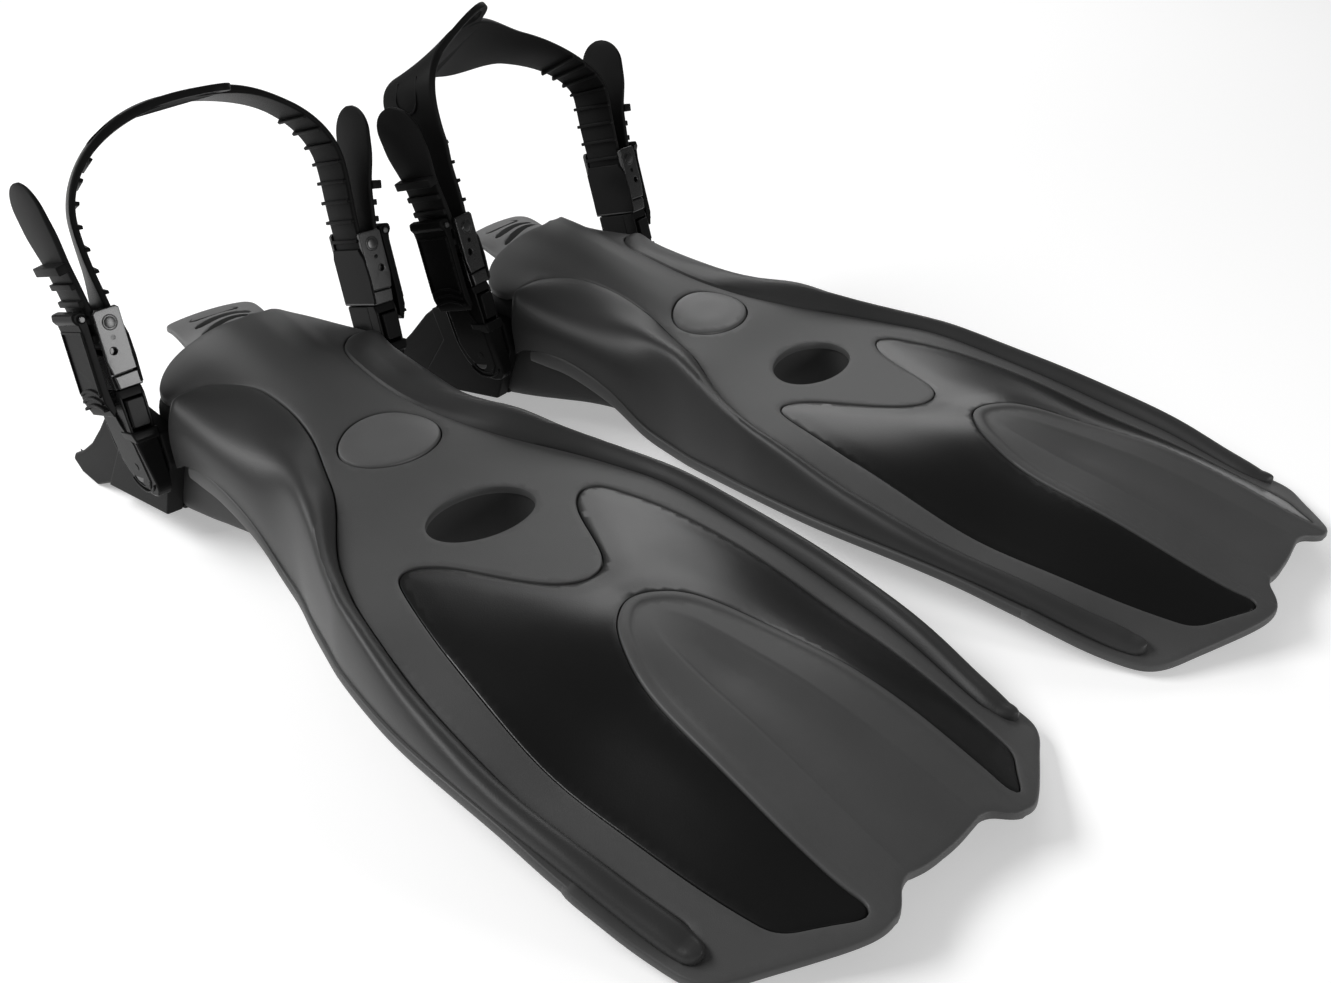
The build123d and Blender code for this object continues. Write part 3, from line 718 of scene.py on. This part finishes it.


# --- Foot pocket and tongue ---------------------------------------------------------------------
# Each row: reach, half width, height where the side turns into the top, and underside
POCKET_ROWS = [(84, 60.5, 72, 12), (110, 60.5, 70, 13.5), (150, 60.5, 64, 19), (185, 60.5, 58, 24),
               (205, 60.5, 52, 24.5), (240, 60, 46, 26), (270, 60, 42, 27.5), (310, 60, 40, 28.5)]
POCKET_AROUND = 60
POCKET_END, LINING_END = 267, 258
pocket_rows = spline([row[0] for row in POCKET_ROWS], [row[1:] for row in POCKET_ROWS])
MOUTH_BY_ANGLE = [(0, 112), (0.2, 112), (0.34, 112), (0.47, 108), (0.6, 105), (0.7, 99.5),
                  (0.8, 93), (0.9, 99), (1, 104.4)]


def pocket_section(reach, wall, skin):
    """Right half of a pocket section, from the middle of the floor round to the instep."""
    half, shoulder, base = pocket_rows(reach)[0]
    half, base = half - wall, base + wall * 0.8
    sides = np.array([0.78, 0.45, 0.2, 0]) * half
    tops = height(sides, np.full(4, -reach)) - 3.0 - skin
    sheet = float(height([half], [-reach])[0]) - 6.0 - skin
    edge_top = min(shoulder - 0.5 * skin, sheet)
    points = [(0, base), (0.5 * half, base), (half - 7, base + 0.4), (half - 1.5, base + 3.5),
              (half, base + 9), (half, (base + edge_top) / 2), (half, edge_top - 4),
              (half - 2.2, edge_top + 4), *zip(sides, tops)]
    around = curve(points, spacing=0.6)
    return around[np.linspace(0, len(around) - 1, POCKET_AROUND).round().astype(int)]


def foot_pocket():
    """Shell with a rolled lip at the mouth, an outer skin and a lining shaped like a foot."""
    share = np.linspace(0, 1, POCKET_AROUND)
    mouth = spline([a for a, _ in MOUTH_BY_ANGLE], [r for _, r in MOUTH_BY_ANGLE])(share)

    def layer(depth, end, wall, skin):
        rows = []
        for k, start in enumerate(mouth):
            reach = start + depth * (end - start)
            x, z = pocket_section(reach, wall, skin)[k]
            rows.append((x, -reach, z))
        half = np.array(rows)
        return np.vstack([half, (half * (-1, 1, 1))[-2:0:-1]])

    outer = [layer(d, POCKET_END, 0, 0) for d in np.linspace(1, 0.012, 44)]
    lip = [layer(0.004, POCKET_END, 0.8, 0.5), layer(0, POCKET_END, 2.4, 1.6),
           layer(0.004, POCKET_END, 4, 2.8)]
    lining = [layer(d, LINING_END, 4.8, 3.4) for d in np.linspace(0.015, 1, 36)]
    return loft(outer + lip + lining)


def tongue_top(x, y, d):
    reach = -y
    droop = 2.0 + 10.5 * smoothstep(62, 92, reach)
    return 92.6 + 5.5 * smoothstep(50, 104, reach) - droop * (x / 26) ** 2


def instep_tongue():
    half = [(0, 57), (12, 57), (20, 57.1), (23.6, 57.8), (25.6, 60), (26.2, 64), (26.5, 78),
            (27.2, 96), (27.5, 108), (0, 108)]
    outline = in_plan(mirrored_loop(np.vstack([curve(half[:-1], 1.4), [half[-1]]])))
    slots = []
    for row in range(3):
        slot = np.array(rounded_box(15 + 2 * row, 1.1, 1.05))
        slots.append(slot + (0, -(66 + 9 * row)))
    return slab(outline, tongue_top, 2.6, slots, edge=0.6, spacing=1.7)


# --- Buckles ------------------------------------------------------------------------------------
def arm_outer(up):
    """Outer face of the arm, which leans inwards towards its round foot."""
    return np.interp(up, (-13, 0, 18, 24, ARM_TOP), (77.4, 79.2, 82.2, 83.8, ARM_OUTER))


def buckle_arm():
    """Leaf-shaped arm: full depth below a cross ridge, hollowed out for the button above it."""
    deep = ARM_OUTER - ARM_INNER

    def beside(t, a, w):
        return swing(ARM_INNER + w * (float(arm_outer(a)) - ARM_INNER) / deep, a, t)

    def on_outside(t, a, w):
        return swing(float(arm_outer(a)) + w, a, t)

    body = prism([(14, 22), (14, -5), (12.8, -9.4), (9.8, -12.4), (5, -12.6), (-1.5, -10.4),
                  (-7.2, -6), (-11.4, 0), (-13.6, 8), (-14, 16), (-14, ARM_TOP), (6.7, ARM_TOP),
                  (6.7, 22)], 0, deep, beside, 1.2, 4)
    cheeks = [prism([(6, 21), (14, 21), (14, 41), (12.6, ARM_TOP), (6, ARM_TOP)], *ends, beside, 0.5)
              for ends in ((0, 1.7), (deep - 1.6, deep))]
    bridge = prism([(6, BUTTON_TOP + 0.5), (13.6, BUTTON_TOP + 0.5), (13, ARM_TOP), (6, ARM_TOP)],
                   0.5, deep - 0.5, beside, 0.5)
    ridge = prism([(4, 18.6), (15.4, 17.4), (16.2, 19), (15.6, 23.2), (4, 24.2)], -0.5, deep + 0.6,
                  beside, 0.8)
    plug = prism([(-10, 42), (10, 42), (10, PLUG_TOP), (-10, PLUG_TOP)], 3.7, 9.7, beside, 0.4)
    blade = prism([(11.2, 17), (9.6, -4), (5.8, -8.4), (0.5, -6.6), (-5, -2), (-8.6, 4), (-10.8, 12),
                   (-11, 40), (-6, 44), (2, 38), (7, 28)], -1.0, 0.7, on_outside, 0.6)
    steps = []
    for reach in (12.2, 9.2):
        turns = np.radians(np.arange(-160, -39, 8))
        arc = [(2 + reach * math.cos(t), 1.5 + reach * math.sin(t)) for t in turns]
        back = [(2 + (reach - 1.1) * math.cos(t), 1.5 + (reach - 1.1) * math.sin(t))
                for t in turns[::-1]]
        steps.append(prism(arc + back, -0.8, 0.9, on_outside, 0.35))
    hub = prism(circle(2, 4, 2.0, 24), -0.8, 1.1, on_outside, 0.35)
    return joined(body, *cheeks, bridge, ridge, plug, blade, *steps, hub)


def holed_plate(outer, hole, low, high, place, bevel=0.5):
    """Bevelled plate with one hole; place turns (u, v, w) into fin coordinates."""
    outer, hole = np.asarray(outer, float), np.asarray(hole, float)
    count = len(outer)
    edges = [(i, (i + 1) % count) for i in range(count)]
    edges += [(count + i, count + (i + 1) % len(hole)) for i in range(len(hole))]
    plan, _, faces, _, _, _ = delaunay_2d_cdt([Vector(p) for p in np.vstack([outer, hole])], edges,
                                              [], 0, 1e-5)
    plan = np.array([tuple(p) for p in plan])
    faces = np.array([tuple(f) for f in faces])
    centres = plan[faces].mean(axis=1)
    faces = faces[inside(centres, outer) & ~inside(centres, hole)]
    work = bmesh.new()
    near = [work.verts.new((u, v, low)) for u, v in plan]
    far = [work.verts.new((u, v, high)) for u, v in plan]
    for a, b, c in faces:
        work.faces.new((near[c], near[b], near[a]))
        work.faces.new((far[a], far[b], far[c]))
    for a, b in outline_edges(faces):
        work.faces.new((near[a], near[b], far[b], far[a]))
    bmesh.ops.recalc_face_normals(work, faces=work.faces)
    sharp = [e for e in work.edges if e.calc_face_angle(0) > math.radians(60)]
    bmesh.ops.bevel(work, geom=sharp, offset=bevel, segments=3, profile=0.5, affect="EDGES")
    work.verts.index_update()
    points = np.array([place(*v.co) for v in work.verts])
    shape_faces = [tuple(v.index for v in f.verts) for f in work.faces]
    work.free()
    return points, shape_faces


def receiver():
    """Buckle frame: collar and socket round the plug, and a plate on each edge; its inner wall is
    built apart, by receiver_wall.
    """
    low = ARM_TOP + 0.3
    plate = [(70.9, 53.6), (83.4, 53.0), (84.8, 60), (84.8, 84), (83.4, 85.4), (72.4, 85.8),
             (70.9, 84.4)]
    plates = [holed_plate(plate, circle(79.9, 64.6, 1.7, 24), *ends, swing, 0.5)
              for ends in ((FRAME_HALF - PLATE, FRAME_HALF), (-FRAME_HALF, PLATE - FRAME_HALF))]
    hollow = prism(circle(79.9, 64.6, 1.9, 20), FRAME_HALF - PLATE - 1, FRAME_HALF - PLATE + 0.3,
                   swing, 0)
    core = prism([(70.4, low), (83.6, low), (84.2, 52), (84.2, 63.4), (70.4, 63.4)], -12.9, 12.9,
                 swing, 0.5)
    collar = prism([(69.9, low), (82.6, low), (83.4, 52.4), (69.9, 53)], -FRAME_HALF + 0.3,
                   FRAME_HALF - 0.2, swing, 0.8)
    ring = circle(0, 0, 3.4, 36)
    rivet = loft([np.array([swing(77.6 + x * k, 78.4 + y * k, FRAME_HALF + w) for x, y in ring])
                  for k, w in ((1.16, -0.4), (1.16, 0.12), (1.1, 0.3), (1.0, 0.3), (0.95, -0.25),
                               (0.88, -0.25), (0.84, 0.35), (0.7, 0.5), (0.05, 0.5))])
    return joined(*plates, hollow, core, collar, rivet)


def receiver_wall():
    """Wall of the receiver on the side of the ankle."""
    return prism([(15.9, 46.4), (16.6, 60), (15.6, 71), (12, 77), (-12.9, 77), (-14.8, 72),
                  (-14.8, 46.4)], FRAME_INNER, FRAME_INNER + 1.4, swing_from_side, 0.6)


def lever_pin():
    """Pin that the lever turns on."""
    return prism(circle(PIN_X, PIN_Y, 1.5, 24), -13.6, 13.6, swing, 0.3)


def lever_details():
    """Thin raised outline round a sunk field, and curved finger ridges at the free end."""
    def face(u, v, w):
        return swing(LEVER_OUTER + w, v, u)

    rails = [prism([(way * 11.8, 45), (way * 10.6, 45), (way * 10.6, 75), (way * 11.8, 77)],
                   -1, 0.8, face, 0.35) for way in (1, -1)]
    top = prism([(-11.8, 75.8), (11.8, 75.8), (11.8, 77.2), (-11.8, 77.2)], -1, 0.8, face, 0.35)
    lip = prism([(PIN_X - 3, 80), (PIN_X + 2.6, 80.4), (PIN_X + 4.4, 83), (PIN_X + 4, 86.2),
                 (PIN_X, 87), (PIN_X - 3, 85.6)], -12.4, 12.4, swing, 0.9)
    grips = []
    for low in (36.5, 40.2, 43.9):
        line = [(u, low + 2.6 - 2.6 * (u / 11) ** 2) for u in np.linspace(-11, 11, 13)]
        line += [(u, v + 1.5) for u, v in line[::-1]]
        grips.append(prism(line, -3.2, 0.9, face, 0.4))
    return joined(*rails, top, lip, *grips)


# --- Strap --------------------------------------------------------------------------------------
FOLD = ROLLER_RADIUS + 0.3 + STRAP_THICKNESS / 2
INNER_RUN = ROLLER_X - FOLD
RIB_PITCH = 10.8
# Distances from a tail's tip along the strap, and of the pad and its mark past the crown
RIBS_FROM, RIBS_TO = 96, 190
LEDGES_AT, STOP_AT = (52.5, 61.5, 70.5, 79.5), 43.0
PAD_PAST_CROWN, MARK_PAST_PAD = 16, 30


def strap_path(skew, rise):
    """Middle line of the strap from the left tail over the loop to the right tail."""
    tail = [(TAIL_TIP_X + 0.6, TAIL_TIP_Y + 1), (93.6, 140), (90.6, 123), (87.2, 105), (84.6, 89),
            (ROLLER_X + FOLD, 77), (ROLLER_X + FOLD, ROLLER_Y)]
    fold = [(ROLLER_X + FOLD * math.cos(a), ROLLER_Y - FOLD * math.sin(a))
            for a in np.radians(range(20, 161, 20))]
    run = [(INNER_RUN, ROLLER_Y), (INNER_RUN, 79), (INNER_RUN + 0.1, 95), (LOOP_HALF - 0.3, 110),
           (LOOP_HALF, LOOP_SPRING)]
    bow = [(LOOP_HALF * math.cos(a) - skew * math.sin(a) ** 1.4, LOOP_SPRING + rise * math.sin(a))
           for a in np.radians(range(9, 172, 9))]
    side = np.array(tail + fold + run)
    return curve(np.vstack([side, bow, (side * (-1, 1))[::-1]]), spacing=1.0)


def heel_strap(skew, rise, twist):
    """Strap whose crown leans to the right by skew mm and which is twisted along its length.

    The twist is a row of (distance past the crown towards the right buckle, degrees that the
    toe edge turns outwards).
    """
    path = strap_path(skew, rise)
    along = np.gradient(path, axis=0)
    along /= np.linalg.norm(along, axis=1, keepdims=True)
    length = np.concatenate([[0], np.cumsum(np.linalg.norm(np.diff(path, axis=0), axis=1))])
    total, crown = length[-1], length[np.argmax(path[:, 1])]
    end = np.minimum(length, total - length)
    axes = np.array([(1, 0, 0), ARM_UP])
    middle = np.array([swing(x, a, 0) for x, a in path])
    toothed = np.stack([-along[:, 1], along[:, 0]], axis=1) @ axes
    turn = np.radians(spline([s for s, _ in twist], [t for _, t in twist])(length - crown))
    turn = (turn * smoothstep(88, 130, end))[:, None]
    across = np.cos(turn) * ARM_TOE - np.sin(turn) * toothed
    facing = np.cos(turn) * toothed + np.sin(turn) * ARM_TOE

    def at(s, v, w, u=0.0):
        """Point v across and w above the middle of the strap, s along it."""
        where = [np.stack([np.interp(s + u, length, row[:, i]) for i in range(3)])
                 for row in (middle, across, facing)]
        return where[0] + v * where[1] + w * where[2]

    pad = crown + PAD_PAST_CROWN
    near_pad = 1 - smoothstep(22, 72, np.sqrt((length - pad) ** 2))
    tip = np.sqrt(np.clip(1 - ((15.0 - np.clip(end, 0.15, 15)) / 15.0) ** 2, 0.0, 1))
    wide = STRAP_HALF + (TAIL_HALF_WIDTH - STRAP_HALF) * (1 - smoothstep(24, 46, end))
    wide = wide * tip + (PAD_HALF_WIDTH - STRAP_HALF) * near_pad
    thick = 0.5 * STRAP_THICKNESS * (0.62 + 0.38 * smoothstep(0, 30, end)) + 0.75 * near_pad
    corner = np.radians(np.linspace(0, 90, 4))
    sections = []
    for i in range(len(path)):
        w, t = wide[i], thick[i]
        radius = min(1.1, 0.8 * t, 0.8 * w)
        section = []
        for quarter, (sw, st) in enumerate(((1, 1), (-1, 1), (-1, -1), (1, -1))):
            for a in corner + quarter * math.pi / 2:
                section.append(middle[i] + across[i] * (sw * (w - radius) + radius * math.cos(a))
                               + facing[i] * (st * (t - radius) + radius * math.sin(a)))
        sections.append(np.array(section))
    extras = []

    def bar(s, long, high, half_width, low=0.8):
        extras.append(prism([(-long / 2, low), (long / 2, low), (long / 2, high), (-long / 2, high)],
                            -half_width, half_width, lambda u, w, v: at(s, v, w, u),
                            min(0.45, 0.3 * long)))

    top = STRAP_THICKNESS / 2
    for way in (0, 1):
        for s in np.arange(RIBS_FROM, RIBS_TO, RIB_PITCH):
            bar(total * way + s * (1 - 2 * way), 1.9, top + 1.8, STRAP_HALF + 0.5)
        for s in LEDGES_AT:
            bar(total * way + s * (1 - 2 * way), 3.2, top + 2.0, STRAP_HALF - 0.4)
        bar(total * way + STOP_AT * (1 - 2 * way), 4.6, top + 5.0, STRAP_HALF + 1.2)
    tab = curve([(-16, 17), (-13.5, 21.5), (-13.6, 27), (-12, 31.5), (-7, 34), (0, 33),
                 (9, 29), (20, 23.5), (32, 19.4), (40, 17)], spacing=1.5)
    hole = curve([(-7.5, 23.5), (-8.5, 27.5), (-6.8, 30.4), (-1, 29), (6, 25.4), (6.4, 23.4),
                  (0, 22.4)], spacing=1.2, closed=True)
    extras.append(holed_plate(tab, hole, -2.0, 1.6, lambda u, v, w: at(crown, v, w, u), 0.6))
    outline = [(-9, 9), (-9, 0)] + [(-9 * math.cos(a), -9 * math.sin(a))
                                    for a in np.radians(range(15, 166, 15))] + [(9, 0), (9, 9)]
    outline = np.array(outline)
    mark = np.vstack([outline, (outline * 0.88)[::-1]])
    extras.append(prism([tuple(p) for p in mark], 1.6, 2.9,
                        lambda v, u, w: at(pad + MARK_PAST_PAD, v, -w, -u), 0.2))
    return joined(loft(sections), *extras)


# --- Floor, light and camera --------------------------------------------------------------------
def studio():
    floor_mesh = bpy.data.meshes.new("studio_floor")
    far = 6.0
    floor_mesh.from_pydata([(-far, -far, 0), (far, -far, 0), (far, far, 0), (-far, far, 0)], [],
                           [(0, 1, 2, 3)])
    floor = bpy.data.objects.new("studio_floor", floor_mesh)
    floor.location.z = -0.0004
    bpy.context.scene.collection.objects.link(floor)
    pale = bpy.data.materials.new("studio_floor")
    pale.use_nodes = True
    shader = pale.node_tree.nodes["Principled BSDF"]
    shader.inputs["Base Color"].default_value = (0.8, 0.8, 0.8, 1)
    shader.inputs["Roughness"].default_value = 0.8
    shader.inputs["Emission Color"].default_value = (1, 1, 1, 1)
    shader.inputs["Emission Strength"].default_value = 0.38
    floor_mesh.materials.append(pale)

    world = bpy.data.worlds.new("studio")
    bpy.context.scene.world = world
    world.use_nodes = True
    world.node_tree.nodes["Background"].inputs["Color"].default_value = (1, 1, 1, 1)
    world.node_tree.nodes["Background"].inputs["Strength"].default_value = 0.16

    def softbox(name, place, size, power):
        data = bpy.data.lights.new(name, "AREA")
        data.shape, data.size, data.size_y, data.energy = "RECTANGLE", size[0], size[1], power
        lamp = bpy.data.objects.new(name, data)
        lamp.location = place
        lamp.rotation_euler = (-Vector(place)).to_track_quat("-Z", "Y").to_euler()
        bpy.context.scene.collection.objects.link(lamp)

    softbox("softbox_left", (-1.05, 1.15, 1.35), (1.5, 0.7), 38)
    softbox("softbox_right", (1.55, 1.0, 1.15), (1.1, 0.8), 10)
    softbox("softbox_front", (-1.5, -1.3, 0.75), (0.5, 1.0), 1.5)
    softbox("softbox_toe", (0.35, -1.35, 0.32), (0.28, 0.5), 6)

    lens = bpy.data.cameras.new("camera")
    lens.lens, lens.sensor_width = 43.28, 36.0
    camera = bpy.data.objects.new("camera", lens)
    camera.location = (-0.5630, -0.4717, 0.4229)
    camera.rotation_euler = (math.radians(61.3), 0, math.radians(-50.44))
    bpy.context.scene.collection.objects.link(camera)
    bpy.context.scene.camera = camera
    bpy.context.scene.view_settings.view_transform = "Standard"


# --- Assembly -----------------------------------------------------------------------------------
# label, shape, material, slot, CAD nodes that it stands for
FIN_PIECES = [
    ("blade_frame", blade_frame(), FRAME_LOOK, "blade_frame", ["blade_frame", "centre_channel"]),
    ("drain_duct", drain_duct(), POCKET_LOOK, "pocket_rubber", []),
    ("blade_panel", blade_panel(), PANEL_LOOK, "blade_panel", ["panel_insert"]),
    ("seam_backing", seam_backing(), PANEL_LOOK, "blade_panel", []),
    ("badge", badge(), BADGE_LOOK, "badge", ["badge"]),
    ("foot_pocket", foot_pocket(), POCKET_LOOK, "pocket_rubber", ["foot_pocket"]),
    ("instep_tongue", instep_tongue(), TONGUE_LOOK, "tongue_rubber", ["instep_tongue"]),
]
SIDE_PIECES = [
    ("side_rail", side_rail(), "fin", RAIL_LOOK, "side_rail", ["side_rail"]),
    ("rim_strip", rim_strip(), "fin", FRAME_LOOK, "blade_frame", []),
    ("buckle_arm", buckle_arm(), "arms", BUCKLE_LOOK, "buckle_plastic", ["buckle_arm"]),
    ("receiver", receiver(), "strap", RECEIVER_LOOK, "buckle_plastic", ["receiver"]),
    ("receiver_wall", receiver_wall(), "strap", BUCKLE_LOOK, "buckle_plastic", []),
    ("lever_pin", lever_pin(), "strap", PIN_LOOK, "pin_steel", ["lever_pin"]),
]
# node, body, material, slot, bevel width in mm
BEVELLED_SIDE_PARTS = [
    ("mount_block", "fin", SOLE_LOOK, "sole_plastic", 1.2),
    ("pivot_stud", "fin", PIN_LOOK, "pin_steel", 0.3),
]
# How each strap stands: lean of its crown, rise of its loop and twist along it
STRAP_SET = {
    "right": (2.0, 51.0, [(-150, 0), (-40, 2), (10, 2), (60, 16), (110, 18), (160, 4)]),
    "left": (39.0, 48.0, [(-160, 4), (-90, 18), (-30, 40), (0, 33), (32, 12), (70, -5), (110, -6),
                          (150, 0)]),
}
lever_shape = lever_details()

for fin in FINS:
    for label, shape, material, slot, nodes in FIN_PIECES:
        add_piece(fin, label, shape, "fin", material, nodes)
    add_piece(fin, "heel_strap", heel_strap(*STRAP_SET[fin]), "strap", STRAP_LOOK,
              ["heel_strap"])
    add_bevelled(fin, "heel_plate", "fin", SOLE_LOOK, 1.6)
    for side, sign in SIDES.items():
        for label, shape, body, material, slot, nodes in SIDE_PIECES:
            add_piece(fin, f"{label}_{side}", shape, body, material,
                      [f"{node}_{side}" for node in nodes], sign, flats=body != "fin")
        add_piece(fin, f"lever_details_{side}", lever_shape, f"lever_{side}", LEVER_LOOK,
                  [], sign, flats=True)
        for node, body, material, slot, width in BEVELLED_SIDE_PARTS:
            add_bevelled(fin, f"{node}_{side}", body, material, width)
        add_bevelled(fin, f"ratchet_lever_{side}", f"lever_{side}", LEVER_LOOK, 0.6)
        add_bevelled(fin, f"strap_roller_{side}", f"roller_{side}", BUCKLE_LOOK, 0.3)
        add_bevelled(fin, f"release_button_{side}", f"button_{side}", BUCKLE_LOOK,
                     0.5)

studio()
